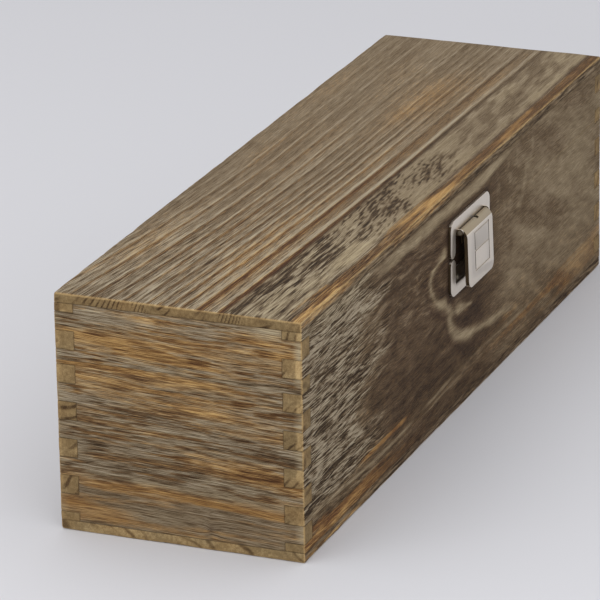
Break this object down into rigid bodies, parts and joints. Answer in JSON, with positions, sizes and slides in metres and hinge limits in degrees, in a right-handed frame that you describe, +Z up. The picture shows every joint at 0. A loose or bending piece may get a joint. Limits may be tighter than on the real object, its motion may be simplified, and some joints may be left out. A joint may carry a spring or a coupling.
{
  "type": "wooden wine box",
  "caption": "Long finger-jointed wooden box for one bottle, sawn into lid and body, with two butt hinges behind and a sheet-metal snap latch in front.",
  "frame": {"origin": "middle of the bottom face, under the middle of the wooden box", "axes": "+Z up, +X along the length, -Y towards the latch"},
  "size_m": [0.35, 0.1095, 0.096],
  "materials": {
    "stained_board": "wire-brushed, smoked brown",
    "stained_end_board": "wire-brushed, smoked honey brown",
    "stained_panel": "wire-brushed, smoked grey brown",
    "latch_nickel": "satin nickel plate",
    "hinge_nickel": "satin nickel plate",
    "pin_steel": "drawn steel",
    "fastener_steel": "nickel-plated steel"
  },
  "bodies": {
    "box_body": {"body_front_board": "stained_board", "body_back_board": "stained_board", "body_left_end_board": "stained_end_board", "body_right_end_board": "stained_end_board", "bottom_panel": "stained_panel", "hinge_left_body_leaf": "hinge_nickel", "hinge_right_body_leaf": "hinge_nickel", "hinge_left_pin": "pin_steel", "hinge_right_pin": "pin_steel", "hinge_body_screws": "fastener_steel", "latch_body_plate": "latch_nickel", "latch_body_nails": "fastener_steel"},
    "lid": {"lid_front_board": "stained_board", "lid_back_board": "stained_board", "lid_left_end_board": "stained_end_board", "lid_right_end_board": "stained_end_board", "top_panel": "stained_panel", "hinge_left_lid_leaf": "hinge_nickel", "hinge_right_lid_leaf": "hinge_nickel", "hinge_lid_screws": "fastener_steel", "latch_lid_plate": "latch_nickel", "latch_lid_nails": "fastener_steel", "latch_flap_pin": "pin_steel"},
    "flap": {"latch_flap": "latch_nickel"}
  },
  "joints": [
    {"name": "lid_hinge", "type": "hinge", "parent": "box_body", "child": "lid", "pos_m": [0, 0.052, 0.06925], "axis": [-1, 0, 0], "range_deg": [0, 180]},
    {"name": "flap_hinge", "type": "hinge", "parent": "lid", "child": "flap", "pos_m": [0.005, -0.05225, 0.07675], "axis": [-1, 0, 0], "range_deg": [0, 80]}
  ]
}
